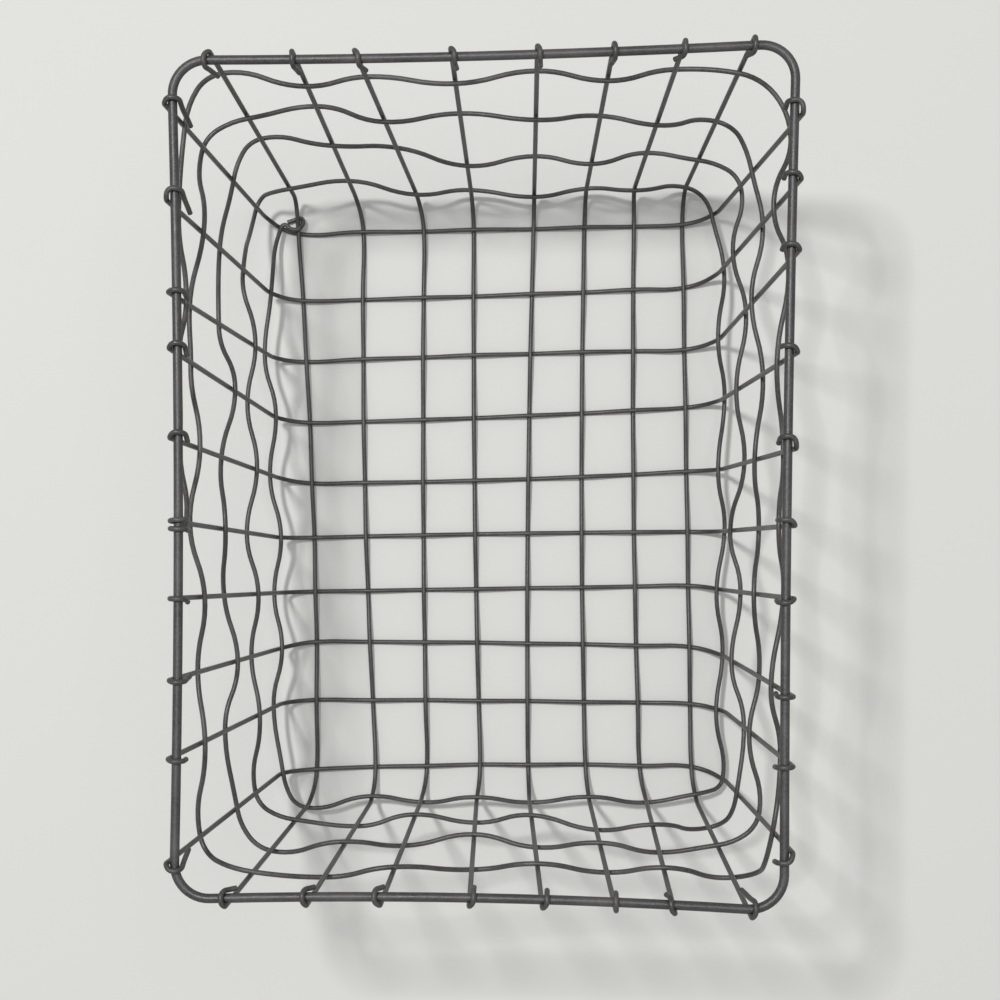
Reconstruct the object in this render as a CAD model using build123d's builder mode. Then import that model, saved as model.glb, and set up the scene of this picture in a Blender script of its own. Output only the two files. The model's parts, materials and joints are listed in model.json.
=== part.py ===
"""Wire locker basket: a heavy rim, eighteen bent wires that hook over it, and one weaving wire.

The basket stands on its bottom. X runs across it, Y along it and Z up. The near end is at -Y.
The eight long wires and the ten cross wires are woven through each other to make the bottom,
run up the outside of the rim, go over it and end inside. The weaving wire starts with an eye in
a bottom corner, climbs the four walls in a spiral, in and out of the wall wires, and ends in a
hook of its own on the rim.
"""
from build123d import *
from dataclasses import dataclass
from math import pi, sqrt
import os

os.makedirs("parts", exist_ok=True)

# The rim, a closed rounded loop of heavy wire, measured along the middle of the wire
rim_length = 332.0
rim_width = 240.0
rim_height = 200.0
rim_corner_radius = 14.0
rim_wire_diameter = 3.7
# Each corner as a share of half the rim's width and length, because it is bent by hand
far_left_shares = (-1.023, 0.989)
near_left_shares = (-1.015, -0.986)
near_right_shares = (0.944, -1.016)
far_right_shares = (1.019, 1.006)
# How far the wires pull the middle of each side in
left_bow = 2.3
near_bow = 2.9
right_bow = 1.2
far_bow = 1.7

# The thin wire of all the other pieces
wire_diameter = 2.1
wire_clearance = 0.15
hook_clearance = 0.18

# How far the bends between the bottom and each wall reach, out from the outermost crossing of
# the bottom and up the wall
left_bend_reach = 15.0
near_bend_reach = 15.0
right_bend_reach = 15.5
far_bend_reach = 15.0

# The free end of each hook, inside the rim
hook_tail_length = 16.0
hook_tail_slant_share = 0.15

# How far the weaving wire turns towards its next wall wire where it passes one
weave_ease_share = 0.45

# The two ends of the weaving wire
eye_distance = 4.5
eye_ease = 0.4
eye_slant_share = 0.34
eye_lean_share = 0.9
eye_tail_length = 5.5
last_hook_distance = 2.8
last_hook_advance = 0.2
last_hook_drop_share = 0.25
last_hook_return_share = -0.05

# Sizes that follow
half_length = rim_length / 2
half_width = rim_width / 2
wire_radius = wire_diameter / 2
contact = wire_diameter + wire_clearance
crimp = contact / 2
grid_height = wire_radius + crimp
hook_radius = rim_wire_diameter / 2 + wire_radius + hook_clearance

# Long wires, from left to right: places across the basket as shares of half the rim's width.
# The foot is the outermost crossing of the bottom and the knee is where the wall's line meets it
long_far_hook_shares = (-0.913, -0.622, -0.407, -0.092, 0.187, 0.432, 0.659, 0.885)
long_far_top_shares = (-0.896, -0.625, -0.420, -0.105, 0.178, 0.428, 0.659, 0.884)
long_far_knee_shares = (-0.829, -0.584, -0.331, -0.114, 0.140, 0.348, 0.540, 0.746)
long_far_foot_shares = (-0.829, -0.563, -0.313, -0.109, 0.137, 0.345, 0.547, 0.745)
long_bow_shares = (0.023, -0.017, -0.009, -0.009, -0.012, -0.014, -0.013, 0.0)
long_near_foot_shares = (-0.762, -0.521, -0.313, -0.096, 0.098, 0.330, 0.549, 0.757)
long_near_knee_shares = (-0.78, -0.53, -0.33, -0.11, 0.10, 0.34, 0.57, 0.77)
long_near_top_shares = (-0.848, -0.585, -0.348, -0.062, 0.173, 0.408, 0.596, 0.840)
long_near_hook_shares = (-0.859, -0.597, -0.366, -0.047, 0.188, 0.408, 0.583, 0.852)

# Cross wires, from far to near: places along the basket as shares of half the rim's length
cross_left_hook_shares = (0.896, 0.680, 0.439, 0.314, 0.104, -0.102, -0.287, -0.481, -0.665, -0.918)
cross_left_top_shares = (0.883, 0.653, 0.435, 0.302, 0.091, -0.104, -0.286, -0.477, -0.660, -0.902)
cross_left_knee_shares = (0.825, 0.60, 0.41, 0.23, 0.055, -0.12, -0.28, -0.44, -0.60, -0.80)
cross_left_foot_shares = (0.786, 0.584, 0.403, 0.221, 0.042, -0.119, -0.278, -0.426, -0.597, -0.799)
cross_bow_shares = (-0.001, -0.003, 0.004, -0.005, -0.007, 0.003, 0.0, 0.004, 0.003, 0.010)
cross_right_foot_shares = (0.797, 0.611, 0.426, 0.256, 0.067, -0.110, -0.268, -0.447, -0.613, -0.797)
cross_right_knee_shares = (0.82, 0.64, 0.445, 0.27, 0.07, -0.11, -0.28, -0.47, -0.63, -0.83)
cross_right_top_shares = (0.838, 0.684, 0.517, 0.277, 0.053, -0.126, -0.296, -0.522, -0.683, -0.881)
cross_right_hook_shares = (0.868, 0.698, 0.530, 0.292, 0.081, -0.113, -0.305, -0.523, -0.685, -0.903)

# The free end of each hook as shares of hook_tail_length: how far it goes down and how far it
# comes back along the rim
far_drop_shares = (0.52, 0.35, 0.26, 0.25, 0.24, 0.26, 0.15, 0.15)
far_return_shares = (0.24, 0.11, 0.16, 0.03, 0.0, -0.10, -0.26, -0.22)
near_drop_shares = (0.15, 0.15, 0.15, 0.20, 0.10, 0.10, 0.15, 0.85)
near_return_shares = (0.33, 0.27, 0.21, 0.0, 0.0, 0.0, -0.10, -0.25)
left_drop_shares = (0.72, 0.52, 0.20, 0.12, 0.12, 0.10, 0.12, 0.30, 0.12, 0.42)
left_return_shares = (-0.52, -0.50, -0.17, -0.30, -0.22, 0.10, -0.08, 0.12, 0.03, 0.45)
right_drop_shares = (0.15, 0.12, 0.12, 0.10, 0.12, 0.10, 0.10, 0.12, 0.15, 0.15)
right_return_shares = (-0.14, -0.10, -0.10, 0.0, -0.16, 0.0, 0.05, 0.08, 0.0, 0.0)

# Height of the weaving wire at each wall wire, as shares of the rim's height. The sides come in
# the order in which it passes them and each row is one turn, the lowest first
left_height_shares = (
    (0.02, 0.08, 0.09, 0.10, 0.09, 0.09, 0.08, 0.10, 0.095, 0.085),
    (0.11, 0.29, 0.29, 0.30, 0.32, 0.34, 0.33, 0.31, 0.32, 0.27),
    (0.44, 0.52, 0.55, 0.51, 0.56, 0.62, 0.55, 0.52, 0.54, 0.51),
    (0.65, 0.75, 0.80, 0.80, 0.82, 0.82, 0.79, 0.76, 0.78, 0.73),
    (0.88, 0.87, 0.91, 0.89, 0.89, 0.93),
)
near_height_shares = (
    (0.065, 0.06, 0.055, 0.08, 0.06, 0.075, 0.055, 0.05),
    (0.28, 0.27, 0.26, 0.25, 0.27, 0.31, 0.34, 0.26),
    (0.50, 0.52, 0.47, 0.46, 0.48, 0.52, 0.50, 0.50),
    (0.77, 0.74, 0.75, 0.68, 0.71, 0.68, 0.71, 0.68),
)
right_height_shares = (
    (0.04, 0.05, 0.045, 0.06, 0.06, 0.085, 0.07, 0.11, 0.08, 0.06),
    (0.31, 0.29, 0.26, 0.26, 0.26, 0.33, 0.36, 0.36, 0.32, 0.31),
    (0.51, 0.52, 0.52, 0.59, 0.52, 0.60, 0.57, 0.55, 0.56, 0.54),
    (0.82, 0.79, 0.81, 0.82, 0.89, 0.81, 0.85, 0.84, 0.79, 0.84),
)
far_height_shares = (
    (0.055, 0.09, 0.06, 0.065, 0.065, 0.10, 0.145, 0.16),
    (0.30, 0.30, 0.30, 0.30, 0.31, 0.38, 0.47, 0.46),
    (0.50, 0.55, 0.56, 0.61, 0.60, 0.62, 0.66, 0.65),
    (0.84, 0.82, 0.83, 0.84, 0.84, 0.83, 0.84, 0.86),
)
# On each turn the weaving wire passes this wall wire of the left side, counted from the far
# end, on the same side as the one before it, so that the next turn goes in where this went out
paired_wires = (2, 2, 3, 4, 5)

# A wire counts as straight where it turns less than this share of a radian
straight_share = 1e-5

up = Vector(0, 0, 1)


@dataclass
class Side:
    """One wall, from corner to corner of the rim in the order in which the weaving wire runs."""

    start: Vector
    end: Vector
    bow: float
    outward: Vector
    bend_reach: float
    knee_places: list
    top_places: list
    hook_places: list
    drop_shares: tuple
    return_shares: tuple
    height_shares: tuple

    @property
    def along(self):
        """The way along the wall in which places grow."""
        return Vector(abs(self.outward.Y), abs(self.outward.X), 0)

    @property
    def way(self):
        """The way along the wall in which the weaving wire runs."""
        return (self.end - self.start).normalized()

    @property
    def order(self):
        """The wall wires in the order in which the weaving wire passes them."""
        sign = self.way.dot(self.along)
        return sorted(range(len(self.top_places)), key=lambda number: sign * self.top_places[number])

    def bowed(self, share):
        """A point of the rim's side before its ends are rounded."""
        return self.start + (self.end - self.start) * share - self.outward * self.bow * 4 * share * (1 - share)

    def bowed_way(self, share):
        """The way that the rim's side runs at a share of its length."""
        return (self.end - self.start - self.outward * self.bow * 4 * (1 - 2 * share)).normalized()

    def rim_at(self, place):
        """The middle of the rim's wire at a place along this wall."""
        start = self.start.dot(self.along)
        end = self.end.dot(self.along)
        into_corner = max(rim_corner_radius - min(abs(place - start), abs(place - end)), 0)
        rounding = rim_corner_radius - sqrt(rim_corner_radius**2 - into_corner**2)
        return self.bowed((place - start) / (end - start)) - self.outward * rounding


def between(first, last, share):
    """The value that lies a share of the way from first to last."""
    return first + (last - first) * share


def scaled(shares, size):
    """The places that shares of a size give."""
    return [size * share for share in shares]


def rim_corner(shares):
    """A corner of the rim before it is rounded."""
    return Vector(half_width * shares[0], half_length * shares[1], rim_height)


far_left = rim_corner(far_left_shares)
near_left = rim_corner(near_left_shares)
near_right = rim_corner(near_right_shares)
far_right = rim_corner(far_right_shares)

left = Side(
    far_left, near_left, left_bow, Vector(-1, 0, 0), left_bend_reach,
    scaled(cross_left_knee_shares, half_length),
    scaled(cross_left_top_shares, half_length),
    scaled(cross_left_hook_shares, half_length),
    left_drop_shares, left_return_shares, left_height_shares,
)
near = Side(
    near_left, near_right, near_bow, Vector(0, -1, 0), near_bend_reach,
    scaled(long_near_knee_shares, half_width),
    scaled(long_near_top_shares, half_width),
    scaled(long_near_hook_shares, half_width),
    near_drop_shares, near_return_shares, near_height_shares,
)
right = Side(
    near_right, far_right, right_bow, Vector(1, 0, 0), right_bend_reach,
    scaled(cross_right_knee_shares, half_length),
    scaled(cross_right_top_shares, half_length),
    scaled(cross_right_hook_shares, half_length),
    right_drop_shares, right_return_shares, right_height_shares,
)
far = Side(
    far_right, far_left, far_bow, Vector(0, 1, 0), far_bend_reach,
    scaled(long_far_knee_shares, half_width),
    scaled(long_far_top_shares, half_width),
    scaled(long_far_hook_shares, half_width),
    far_drop_shares, far_return_shares, far_height_shares,
)
last_long = len(long_bow_shares) - 1
last_cross = len(cross_bow_shares) - 1


def grid_point(long_number, cross_number):
    """Where a long wire and a cross wire cross on the bottom, both counted from 0."""
    down_share = cross_number / last_cross
    over_share = long_number / last_long
    long_share = between(long_far_foot_shares[long_number], long_near_foot_shares[long_number], down_share)
    long_share += long_bow_shares[long_number] * 4 * down_share * (1 - down_share)
    cross_share = between(cross_left_foot_shares[cross_number], cross_right_foot_shares[cross_number], over_share)
    cross_share += cross_bow_shares[cross_number] * 4 * over_share * (1 - over_share)
    return Vector(half_width * long_share, half_length * cross_share, grid_height)


def crossing(side, number, steps_in):
    """The crossing of a wall wire that lies some steps in from the wall, and whether the wire
    is on top there. Over and under change at every crossing."""
    if side is left:
        long_number, cross_number = steps_in, number
    elif side is right:
        long_number, cross_number = last_long - steps_in, number
    elif side is far:
        long_number, cross_number = number, steps_in
    else:
        long_number, cross_number = number, last_cross - steps_in
    long_on_top = (long_number + cross_number) % 2 == 0
    on_top = long_on_top if side in (far, near) else not long_on_top
    return grid_point(long_number, cross_number), on_top


def touch_point(side, place):
    """Where a wire that hooks over the rim comes up against the outside of it."""
    return side.rim_at(place) + side.outward * hook_radius


def knee_station(side, number):
    """The upper end of the bend between bottom and wall, as a point with the way that it runs."""
    foot, _ = crossing(side, number, 0)
    beyond = foot.dot(side.outward) + side.bend_reach
    base = side.along * side.knee_places[number] + side.outward * beyond + up * grid_height
    upward = (touch_point(side, side.top_places[number]) - base).normalized()
    return base + upward * side.bend_reach, upward


def foot_station(side, number):
    """The outermost crossing of the bottom on a wall wire, on its way out to the wall."""
    foot, on_top = crossing(side, number, 0)
    inner, _ = crossing(side, number, 1)
    knee, _ = knee_station(side, number)
    outward = Vector(knee.X, knee.Y, grid_height) - inner
    return foot + up * (crimp if on_top else -crimp), outward.normalized()


def wall_station(side, number, height):
    """The point of a wall wire at a height, and the way that it runs there."""
    knee, upward = knee_station(side, number)
    if height >= knee.Z:
        return knee + upward * (height - knee.Z) / upward.Z, upward
    foot, outward = foot_station(side, number)
    for bend in arcs_between((foot, outward), (knee, upward)):
        if height <= (bend @ 1).Z:
            point = Vector(*bend.intersect(Plane.XY.offset(height))[0])
            return point, bend.tangent_at(bend.param_at_point(point))


def inside_of(wall_way, way):
    """The way into the basket that is square to a wall wire and to what passes it."""
    return wall_way.cross(way).normalized()


def hook_stations(side, touch, arriving, over_place, drop, come_back):
    """A hook from where it touches the outside of the rim, over it and down to its free end."""
    inward = -side.outward
    over = side.rim_at(over_place) + up * hook_radius
    quarter_turn = hook_radius * pi / 2
    slope = come_back / (quarter_turn + drop)
    inner_place = over_place + slope * quarter_turn / 2
    inner = side.rim_at(inner_place) + inward * hook_radius
    down = (side.along * slope - up).normalized()
    end = side.rim_at(over_place + come_back) + inward * hook_radius
    end += inward * drop * hook_tail_slant_share - up * drop
    return [(touch, arriving), (over, inward), (inner, down), (end, (end - inner).normalized())]


def wall_stations(side, number):
    """A wall wire from its knee to its free end."""
    knee, upward = knee_station(side, number)
    touch = touch_point(side, side.top_places[number])
    drop = hook_tail_length * side.drop_shares[number]
    come_back = hook_tail_length * side.return_shares[number]
    return [(knee, upward)] + hook_stations(
        side, touch, upward, side.hook_places[number], drop, come_back
    )


def grid_stations(side, number, far_side, count):
    """The crossings of one wire of the bottom, from one side to the other."""
    stations = [foot_station(side, number)]
    stations[0] = (stations[0][0], -stations[0][1])
    for steps in range(1, count - 1):
        point, on_top = crossing(side, number, steps)
        before, _ = crossing(side, number, steps - 1)
        after, _ = crossing(side, number, steps + 1)
        stations.append((point + up * (crimp if on_top else -crimp), (after - before).normalized()))
    return stations + [foot_station(far_side, number)]


def turned_back(stations):
    """The same stations passed from the other end."""
    return [(point, -direction) for point, direction in reversed(stations)]


def meeting_of(first_station, second_station):
    """Where two arcs meet that leave the first station and reach the second as these say."""
    (start, start_way), (end, end_way) = first_station, second_station
    step = end - start
    reach = step.dot(start_way + end_way)
    spread = 2 * (1 - start_way.dot(end_way))
    distance = step.dot(step) / (reach + sqrt(reach**2 + spread * step.dot(step)))
    first = start + start_way * distance
    second = end - end_way * distance
    return (first + second) / 2, (second - first).normalized()


def is_straight(start, way, end):
    """Whether a way points from the start to the end."""
    return (end - start).normalized().cross(way).length < straight_share


def arc_or_line(start, way, end, mode):
    """One arc, or a line where the wire is straight."""
    if is_straight(start, way, end):
        return Line(start, end, mode=mode)
    return TangentArc(start, end, tangent=way, mode=mode)


def arcs_between(first_station, second_station, mode=Mode.PRIVATE):
    """The two arcs, or the one line, from a station to the next."""
    (start, start_way), (end, end_way) = first_station, second_station
    if is_straight(start, start_way, end) and is_straight(start, end_way, end):
        return [Line(start, end, mode=mode)]
    meeting, meeting_way = meeting_of(first_station, second_station)
    return [arc_or_line(start, start_way, meeting, mode), arc_or_line(meeting, meeting_way, end, mode)]


def bend_wire(stations, diameter):
    """A round wire through stations, each a point with the way that the wire runs there."""
    with BuildPart() as wire:
        with BuildLine() as route:
            for first_station, second_station in zip(stations, stations[1:]):
                arcs_between(first_station, second_station, Mode.ADD)
        with BuildSketch(Plane(origin=stations[0][0], z_dir=stations[0][1])):
            Circle(diameter / 2)
        sweep(path=route.wire())
    return wire.part


def rim_stations():
    """The rim: the ends and the middle of each side, closed round the corners."""
    stations = []
    for side in (left, near, right, far):
        corner_share = rim_corner_radius / (side.end - side.start).length
        for share in (corner_share, 0.5, 1 - corner_share):
            stations.append((side.bowed(share), side.bowed_way(share)))
    return stations + stations[:1]


def woven_crossings():
    """Where the weaving wire passes the wall wires, with the side, the wall wire's middle there,
    the way that the wall wire runs and whether the weaving wire is inside it."""
    crossings = []
    is_inside = True
    for turn in range(len(left.height_shares)):
        for side in (left, near, right, far):
            if turn == len(side.height_shares):
                break
            for index, share in enumerate(side.height_shares[turn]):
                is_first = turn == 0 and side is left and index == 0
                is_paired = side is left and index + 1 == paired_wires[turn]
                if not is_first and not is_paired:
                    is_inside = not is_inside
                point, wall_way = wall_station(side, side.order[index], rim_height * share)
                crossings.append((side, point, wall_way, is_inside))
    return crossings


def eye_stations():
    """The start of the weaving wire: a free end and an eye round the first long wire."""
    foot = foot_station(far, 0)
    bend = arcs_between(foot, knee_station(far, 0))[0]
    point = bend.position_at(eye_distance, position_mode=PositionMode.LENGTH)
    bend_way = bend.tangent_at(eye_distance, position_mode=PositionMode.LENGTH)
    reach = contact + eye_ease
    inside = (inside_of(bend_way, far.way) - bend_way * eye_lean_share) * reach
    sideways = (left.outward - far.outward * eye_slant_share) * reach
    leaving = sideways.normalized()
    return [
        (point - inside + leaving * eye_tail_length, -leaving),
        (point - inside, -leaving),
        (point - sideways, inside.normalized()),
        (point + inside, leaving),
    ]


def weaving_stations():
    """The whole weaving wire: its eye, its turns and its hook on the rim."""
    crossings = woven_crossings()
    eye = eye_stations()
    last_point = crossings[-1][1]
    place = last_point.Y - last_hook_distance
    hook = hook_stations(
        left, touch_point(left, place), up, place - last_hook_advance,
        hook_tail_length * last_hook_drop_share, hook_tail_length * last_hook_return_share,
    )
    points = [eye[-1][0]] + [point for _, point, _, _ in crossings] + [hook[0][0]]
    stations = []
    for (side, point, wall_way, is_inside), before, after in zip(crossings, points, points[2:]):
        onward = Vector(after.X - before.X, after.Y - before.Y, 0).normalized()
        way = between(side.way, onward, weave_ease_share).normalized()
        inside = inside_of(wall_way, way)
        rise = (after.Z - before.Z) / ((point - before).length + (after - point).length)
        offset = contact if is_inside else -contact
        direction = (way + way.cross(inside) * rise).normalized()
        stations.append((point + inside * offset, direction))
    return eye + stations + hook


def finish(part, name):
    """Name a piece and write it."""
    part.label = name
    export_step(part, f"parts/{name}.step")


# The rim
finish(bend_wire(rim_stations(), rim_wire_diameter), "rim_wire")

# The long wires, from the far hook to the near hook
for number in range(last_long + 1):
    stations = (
        turned_back(wall_stations(far, number))
        + grid_stations(far, number, near, last_cross + 1)
        + wall_stations(near, number)
    )
    finish(bend_wire(stations, wire_diameter), f"long_wire_{number + 1}")

# The cross wires, from the left hook to the right hook
for number in range(last_cross + 1):
    stations = (
        turned_back(wall_stations(left, number))
        + grid_stations(left, number, right, last_long + 1)
        + wall_stations(right, number)
    )
    finish(bend_wire(stations, wire_diameter), f"cross_wire_{number + 1}")

# The weaving wire
finish(bend_wire(weaving_stations(), wire_diameter), "weaving_wire")
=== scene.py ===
# %% [markdown]
# # A woven wire locker basket
#
# The real basket is made of twenty wires. One heavy wire is bent into the rim. Eighteen thin
# wires are woven through each other for the bottom, run up the walls and hook over the rim. The
# last one is woven round the walls. All of it was dipped in molten zinc, which has dulled to a
# dark grey. The wires arrive here already bent, so this lesson is about their surface and light.

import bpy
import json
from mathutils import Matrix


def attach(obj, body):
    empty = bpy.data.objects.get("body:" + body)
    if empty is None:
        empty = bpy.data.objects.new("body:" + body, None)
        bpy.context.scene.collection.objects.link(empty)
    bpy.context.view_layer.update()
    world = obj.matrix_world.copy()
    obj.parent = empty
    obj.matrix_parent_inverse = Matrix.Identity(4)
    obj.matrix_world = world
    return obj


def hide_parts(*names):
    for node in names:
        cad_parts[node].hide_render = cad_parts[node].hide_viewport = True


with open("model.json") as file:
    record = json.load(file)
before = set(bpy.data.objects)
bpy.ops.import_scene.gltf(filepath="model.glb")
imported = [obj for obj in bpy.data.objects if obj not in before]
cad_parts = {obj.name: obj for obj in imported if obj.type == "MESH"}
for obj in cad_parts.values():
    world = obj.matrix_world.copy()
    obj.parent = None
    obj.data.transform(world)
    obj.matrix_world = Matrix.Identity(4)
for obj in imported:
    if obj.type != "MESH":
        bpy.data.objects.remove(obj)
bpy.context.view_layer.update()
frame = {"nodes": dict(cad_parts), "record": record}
print("wires in the model:", len(frame["nodes"]))

# %% [markdown]
# ## Camera
#
# The photograph looks straight down into the basket from about a metre, a little to the right
# and to the near side of its middle. A long lens keeps the far rim and the near rim almost
# parallel. The camera was matched to the four corners of the rim and of the bottom. An
# orthographic camera would be simpler, but then the walls would hide behind the rim.

# %% Camera
import bpy
from math import pi, radians

camera_place = (0.03033, -0.04122, 0.95496)
camera_turn = (radians(2.343), radians(1.9), radians(-0.39))
camera_lens_mm = 70.2
camera_sensor_mm = 36

bpy.ops.object.select_all(action="DESELECT")
bpy.ops.object.camera_add(location=camera_place, rotation=camera_turn)
camera = bpy.context.object
camera.name = "camera"
camera.data.lens = camera_lens_mm
camera.data.sensor_width = camera_sensor_mm
bpy.context.scene.camera = camera
bpy.context.scene.view_settings.view_transform = "Standard"
print("camera lens:", camera_lens_mm, "mm")

# %% [markdown]
# ## Lamps
#
# The photograph was taken in an ordinary room. Most of the light comes from above the far left
# corner, so each wire throws a soft shadow to the lower right. A second, wider light from the
# far right throws a fainter one to the lower left. Sun lamps would be simpler, but they light
# both ends alike, and a round lamp two metres away dims a little across the basket, as the
# light of a room does. A wider lamp throws softer shadows. Each lamp's strength is given as the
# share of full daylight that it lays on the floor. With the sky's share they add up to one, so
# a colour renders as it is written.

# %% Lamps
key_share = 0.46
key_place = (-0.50, 0.46, 2.0)
key_width = 0.20
fill_share = 0.16
fill_place = (0.30, 0.20, 2.2)
fill_width = 0.90


def add_lamp(name, place, width, share):
    """A round lamp that looks at the middle of the basket and lays a share of daylight there."""
    height = place[2]
    distance = sum(step * step for step in place) ** 0.5
    bpy.ops.object.select_all(action="DESELECT")
    bpy.ops.object.light_add(type="AREA", location=place)
    lamp = bpy.context.object
    lamp.name = name
    lamp.rotation_euler = (-lamp.location).to_track_quat("-Z", "Y").to_euler()
    lamp.data.shape = "DISK"
    lamp.data.size = width
    # A lamp weakens with the square of its distance, and with its slant over the floor
    lamp.data.energy = share * pi * pi * distance * distance * distance / height
    print(name, "at", round(distance, 2), "m, energy", round(lamp.data.energy, 2))


add_lamp("key lamp", key_place, key_width, key_share)
add_lamp("fill lamp", fill_place, fill_width, fill_share)

# %% [markdown]
# ## Sky
#
# The walls and the ceiling of the room send light from all round, which a plain white sky does
# here. A picture of a room would light the basket too, but it would bring its own colours. The
# sky is strong enough to fill the shadows and no more. The camera, and anything that mirrors,
# sees it near to white all the same, because the Light Path node says who is looking. A few
# small helpers make and feed the nodes, here and in the materials below.

# %% Node helpers
# The range of a share, from none to all
whole = (0.0, 1.0)


def add_node(tree, kind, **settings):
    """A new node, with some of its settings filled in."""
    node = tree.nodes.new(kind)
    for key, setting in settings.items():
        setattr(node, key, setting)
    return node


def feed(tree, sockets, values):
    """Gives each named socket a number, a colour or what another node puts out."""
    for name, value in values.items():
        if isinstance(value, bpy.types.NodeSocket):
            tree.links.new(value, sockets[name])
        else:
            sockets[name].default_value = value


def calculate(tree, operation, first, second):
    """Two values put together, each a number or a socket."""
    node = add_node(tree, "ShaderNodeMath", operation=operation)
    feed(tree, node.inputs, {0: first, 1: second})
    return node.outputs[0]


def spread(tree, value, stretch, target=whole, curve="LINEAR"):
    """The value, with a stretch of it spread over the target."""
    node = add_node(tree, "ShaderNodeMapRange", interpolation_type=curve)
    feed(tree, node.inputs, {
        "Value": value,
        "From Min": stretch[0],
        "From Max": stretch[1],
        "To Min": target[0],
        "To Max": target[1],
    })
    return node.outputs["Result"]


# %% Sky
sky_share = 0.38
# The camera, mirrors and glass see the sky at this share of white
seen_share = 0.86
white = (1.0, 1.0, 1.0, 1.0)

sky = bpy.data.worlds.new("sky")
bpy.context.scene.world = sky
sky.use_nodes = True
sky_tree = sky.node_tree
ray = add_node(sky_tree, "ShaderNodeLightPath").outputs
seen = calculate(sky_tree, "MAXIMUM", ray["Is Camera Ray"], ray["Is Glossy Ray"])
seen_or_clear = calculate(sky_tree, "MAXIMUM", seen, ray["Is Transmission Ray"])
strength = spread(sky_tree, seen_or_clear, whole, (sky_share, seen_share))
feed(sky_tree, sky_tree.nodes["Background"].inputs, {"Color": white, "Strength": strength})
print("shares of daylight:", sky_share + key_share + fill_share)

# %% [markdown]
# ## Floor
#
# The floor is plain and pale. It keeps the basket's shadows, which say a lot about how high each
# wire is. Far from the lamps it would turn dark, so from about half a metre on it fades into the
# pale sky, as a paper sweep does in a studio. A real sweep has to stand on one side, and the fade
# works from every side. Only the camera sees it, so it lights nothing.

# %% Floor
floor_size = 12.0
floor_colour = (0.745, 0.745, 0.722, 1.0)
paper_roughness = 0.9
paper_shine = 0.1
fade_start = 0.45
fade_end = 1.7
fade_curve = "SMOOTHSTEP"

bpy.ops.object.select_all(action="DESELECT")
bpy.ops.mesh.primitive_plane_add(size=floor_size)
floor = bpy.context.object
floor.name = "floor"
paper = bpy.data.materials.new("pale floor")
paper.use_nodes = True
paper_tree = paper.node_tree
paper_shader = paper_tree.nodes["Principled BSDF"]
feed(paper_tree, paper_shader.inputs, {
    "Base Color": floor_colour,
    "Roughness": paper_roughness,
    "Specular IOR Level": paper_shine,
})

floor_place = add_node(paper_tree, "ShaderNodeTexCoord").outputs["Object"]
from_middle = add_node(paper_tree, "ShaderNodeVectorMath", operation="LENGTH")
feed(paper_tree, from_middle.inputs, {0: floor_place})
distance = from_middle.outputs["Value"]
fade = spread(paper_tree, distance, (fade_start, fade_end), curve=fade_curve)
camera_ray = add_node(paper_tree, "ShaderNodeLightPath").outputs["Is Camera Ray"]
seen_fade = calculate(paper_tree, "MULTIPLY", fade, camera_ray)
haze = add_node(paper_tree, "ShaderNodeEmission")
feed(paper_tree, haze.inputs, {"Strength": seen_share})
faded = add_node(paper_tree, "ShaderNodeMixShader")
feed(paper_tree, faded.inputs, {
    0: seen_fade,
    1: paper_shader.outputs["BSDF"],
    2: haze.outputs["Emission"],
})
paper_out = paper_tree.nodes["Material Output"]
feed(paper_tree, paper_out.inputs, {"Surface": faded.outputs["Shader"]})
floor.data.materials.append(paper)
print("floor fades from", fade_start, "to", fade_end, "m")

# %% [markdown]
# ## Zinc coat
#
# Zinc that was put on by dipping is not one even grey. Close up it has three scales. The
# smallest is a grain like fine sand, dark where it was rubbed, which also makes the surface
# rough. Next come the crystals of the zinc, a millimetre or so wide and each a little lighter or
# darker than the next. The largest are cloudy patches, where the air has bloomed it pale. A
# picture of zinc could be wrapped round each wire, but patterns of noise have no seam and stay
# sharp close up. All the wires share this effect, so it is one node group, and each material
# sets its own colours. The pattern reads object coordinates in metres, so a scale of 1000 means
# a pattern one millimetre wide.

# %% Pattern helpers
def noise(tree, position, scale, detail, roughness):
    """A noise pattern, from 0 to 1 and mostly near a half."""
    node = add_node(tree, "ShaderNodeTexNoise")
    shape = {"Scale": scale, "Detail": detail, "Roughness": roughness}
    feed(tree, node.inputs, {"Vector": position, **shape})
    return node.outputs["Fac"]


def mix_colours(tree, share, first, second, blend="MIX"):
    """Two colours mixed by a share, which may be a number or a socket."""
    node = add_node(tree, "ShaderNodeMix", data_type="RGBA", blend_type=blend)
    # The node names its sockets for numbers and for colours alike, so they go by identifier
    sockets = {socket.identifier: socket for socket in (*node.inputs, *node.outputs)}
    feed(tree, sockets, {"Factor_Float": share, "A_Color": first, "B_Color": second})
    return sockets["Result_Color"]


# %% Zinc coat node group
grain_scale = 2200
crystal_scale = 900
lump_scale = 500
cloud_scale = 45
lump_height = 1.5
crystal_tones = (0.86, 1.14)
# Noise keeps near a half, so what it steers takes only a stretch of it round the half
zinc_stretch = (0.35, 0.65)
bloom_stretch = (0.45, 0.75)
rough_grain_stretch, grain_roughness = (0.3, 0.7), (0.32, 0.48)
rough_cloud_stretch, cloud_roughness = (0.4, 0.7), (-0.04, 0.1)

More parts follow.
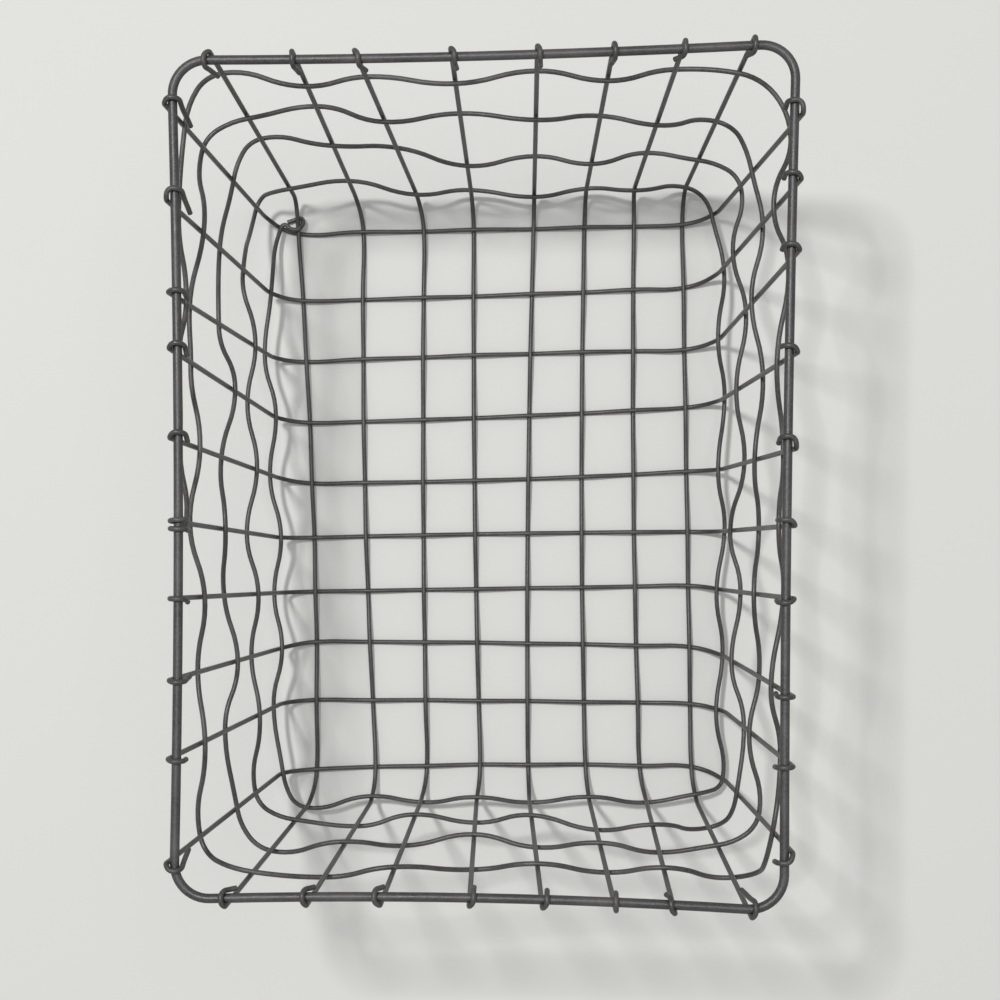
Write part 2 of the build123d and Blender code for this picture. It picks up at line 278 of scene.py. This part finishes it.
zinc_coat = bpy.data.node_groups.new("zinc coat", "ShaderNodeTree")
for side, name, kind in (
    ("INPUT", "Position", "NodeSocketVector"),
    ("INPUT", "Rubbed", "NodeSocketColor"),
    ("INPUT", "Zinc", "NodeSocketColor"),
    ("INPUT", "Bloom", "NodeSocketColor"),
    ("INPUT", "Bloom Share", "NodeSocketFloat"),
    ("OUTPUT", "Color", "NodeSocketColor"),
    ("OUTPUT", "Roughness", "NodeSocketFloat"),
    ("OUTPUT", "Height", "NodeSocketFloat"),
):
    zinc_coat.interface.new_socket(name, in_out=side, socket_type=kind)
coat_in = add_node(zinc_coat, "NodeGroupInput").outputs
coat_out = add_node(zinc_coat, "NodeGroupOutput").inputs

position = coat_in["Position"]
grain = noise(zinc_coat, position, grain_scale, detail=2, roughness=0.7)
lumps = noise(zinc_coat, position, lump_scale, detail=2, roughness=0.5)
clouds = noise(zinc_coat, position, cloud_scale, detail=3, roughness=0.6)
crystals = add_node(zinc_coat, "ShaderNodeTexVoronoi")
feed(zinc_coat, crystals.inputs, {"Vector": position, "Scale": crystal_scale})
crystal_tone = add_node(zinc_coat, "ShaderNodeSeparateColor")
feed(zinc_coat, crystal_tone.inputs, {"Color": crystals.outputs["Color"]})
crystal_red = crystal_tone.outputs["Red"]

# The colour, from the smallest pattern to the largest
grain_share = spread(zinc_coat, grain, zinc_stretch)
grainy = mix_colours(zinc_coat, grain_share, coat_in["Rubbed"], coat_in["Zinc"])
crystal_shade = spread(zinc_coat, crystal_red, whole, crystal_tones)
shaded = mix_colours(zinc_coat, 1.0, grainy, crystal_shade, blend="MULTIPLY")
cloud_share = spread(zinc_coat, clouds, bloom_stretch)
bloom_share = calculate(zinc_coat, "MULTIPLY", cloud_share, coat_in["Bloom Share"])
bloomed = mix_colours(zinc_coat, bloom_share, shaded, coat_in["Bloom"])

# The roughness and the height, for what the light does on the coat
rough_grain = spread(zinc_coat, grain, rough_grain_stretch, grain_roughness)
rough_clouds = spread(zinc_coat, clouds, rough_cloud_stretch, cloud_roughness)
roughness = calculate(zinc_coat, "ADD", rough_grain, rough_clouds)
high_lumps = calculate(zinc_coat, "MULTIPLY", lumps, lump_height)
height = calculate(zinc_coat, "ADD", grain, high_lumps)
feed(zinc_coat, coat_out, {"Color": bloomed, "Roughness": roughness, "Height": height})
print("zinc coat nodes:", len(zinc_coat.nodes))

# %% [markdown]
# ## Three steels
#
# All three are a warm dark grey. The rim has a faint red tint and is rubbed darker, where hands
# hold it. The wall wires lean to olive, and the weaving wire is the palest. Each gets the zinc
# coat with its own colours, and its own shader, which is metal only in part. Old zinc is a dark
# crust that scatters light like paint, with one soft bright line where the lamp glances off the
# round of the wire.

# %% Materials
bump_depth = 0.00012
bump_strength = 0.5
bloom_amount = 0.4
metal_share = 0.3
opaque = 1.0


def zinc_steel(name, rubbed, zinc, bloom):
    """A material for wire with a dull coat of zinc."""
    material = bpy.data.materials.new(name)
    material.use_nodes = True
    tree = material.node_tree
    place = add_node(tree, "ShaderNodeTexCoord").outputs["Object"]
    coat = add_node(tree, "ShaderNodeGroup", node_tree=zinc_coat)
    feed(tree, coat.inputs, {
        "Position": place,
        "Rubbed": (*rubbed, opaque),
        "Zinc": (*zinc, opaque),
        "Bloom": (*bloom, opaque),
        "Bloom Share": bloom_amount,
    })
    bump = add_node(tree, "ShaderNodeBump")
    feed(tree, bump.inputs, {
        "Height": coat.outputs["Height"],
        "Distance": bump_depth,
        "Strength": bump_strength,
    })
    feed(tree, tree.nodes["Principled BSDF"].inputs, {
        "Base Color": coat.outputs["Color"],
        "Roughness": coat.outputs["Roughness"],
        "Normal": bump.outputs["Normal"],
        "Metallic": metal_share,
    })
    return material


steels = {
    "rim_steel": zinc_steel(
        "rim steel",
        rubbed=(0.025, 0.024, 0.024),
        zinc=(0.072, 0.069, 0.0685),
        bloom=(0.14, 0.135, 0.134),
    ),
    "wall_steel": zinc_steel(
        "wall steel",
        rubbed=(0.028, 0.0277, 0.0262),
        zinc=(0.073, 0.0722, 0.068),
        bloom=(0.136, 0.134, 0.127),
    ),
    "weaving_steel": zinc_steel(
        "weaving steel",
        rubbed=(0.029, 0.0283, 0.0268),
        zinc=(0.076, 0.0743, 0.0702),
        bloom=(0.145, 0.142, 0.135),
    ),
}
print("materials:", ", ".join(steels))

# %% [markdown]
# ## Wires
#
# The zinc has run over the cut ends of the real wires and rounded them. The model's wires have
# the right shape, but each is a heap of loose triangles with sharp cut ends. New wires could be
# drawn along curves, but they might stray from the model's, so a copy of each is welded into one
# skin instead. The flat face of each end is found inside its sharp edge and drawn in a little,
# and the skin is shaded smooth. The copy then stands for the wire of the model. The rim is a
# closed loop and has no ends.

# %% Wires
weld_distance = 0.00001
sharp_turn = radians(60)
smooth_turn = radians(50)
end_rounding = 0.00035
end_swell = 0.00015


def dress_wire(name, slot):
    """A welded, smooth copy of one wire of the model, with its ends softened."""
    bpy.ops.object.select_all(action="DESELECT")
    wire = frame["nodes"][name].copy()
    wire.data = wire.data.copy()
    # The copy drops the labels that the model's own wire carries
    for key in list(wire.keys()):
        del wire[key]
    wire.name = f"dressed_{name}"
    wire.parent = None
    bpy.context.scene.collection.objects.link(wire)
    wire.select_set(True)
    bpy.context.view_layer.objects.active = wire
    bpy.ops.mesh.customdata_custom_splitnormals_clear()
    bpy.ops.object.mode_set(mode="EDIT")
    bpy.ops.mesh.select_all(action="SELECT")
    bpy.ops.mesh.remove_doubles(threshold=weld_distance)
    bpy.ops.mesh.tris_convert_to_quads()
    bpy.ops.mesh.select_mode(type="EDGE")
    bpy.ops.mesh.select_all(action="DESELECT")
    bpy.ops.mesh.edges_select_sharp(sharpness=sharp_turn)
    if name != "rim_wire":
        bpy.ops.mesh.loop_to_region()
        bpy.ops.mesh.select_mode(type="FACE")
        bpy.ops.mesh.dissolve_faces()
        bpy.ops.mesh.inset(thickness=end_rounding, depth=end_swell)
    bpy.ops.object.mode_set(mode="OBJECT")
    bpy.ops.object.shade_smooth_by_angle(angle=smooth_turn)
    wire.data.materials.clear()
    wire.data.materials.append(steels[slot])
    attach(wire, "root")
    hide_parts(name)
    return wire


for subpart in frame["record"]["subparts"]:
    wire = dress_wire(subpart["node"], subpart["material_slot"])
    print(wire.name, len(wire.data.polygons))

# %% [markdown]
# ## Finish

# %% Finish
import json
